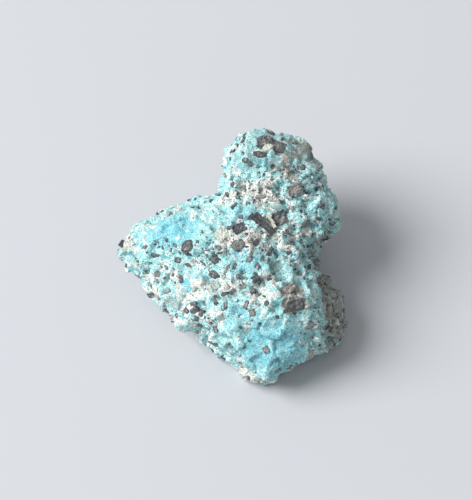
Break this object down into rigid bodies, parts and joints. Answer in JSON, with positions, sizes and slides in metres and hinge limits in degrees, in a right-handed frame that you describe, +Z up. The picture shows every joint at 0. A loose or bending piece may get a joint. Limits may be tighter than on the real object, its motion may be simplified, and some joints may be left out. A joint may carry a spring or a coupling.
{
  "type": "raw turquoise nugget",
  "caption": "Rough natural nugget of pale blue turquoise in cream host rock with dark mineral grains, resting on a broken flat face.",
  "frame": {"origin": "centre of the stone's bounding box in X and Y, at the height of the broken face that it rests on", "axes": "+Z up from the resting face, +Y along the stone's greatest extent from the tip towards the domed knob, +X to the right with the wing on the left"},
  "size_m": [0.0298, 0.0336, 0.0175],
  "materials": {
    "turquoise_stone": "matte",
    "dark_grains": "satin",
    "quartz_grains": "satin"
  },
  "bodies": {
    "root": {"nugget": "turquoise_stone"}
  },
  "joints": []
}
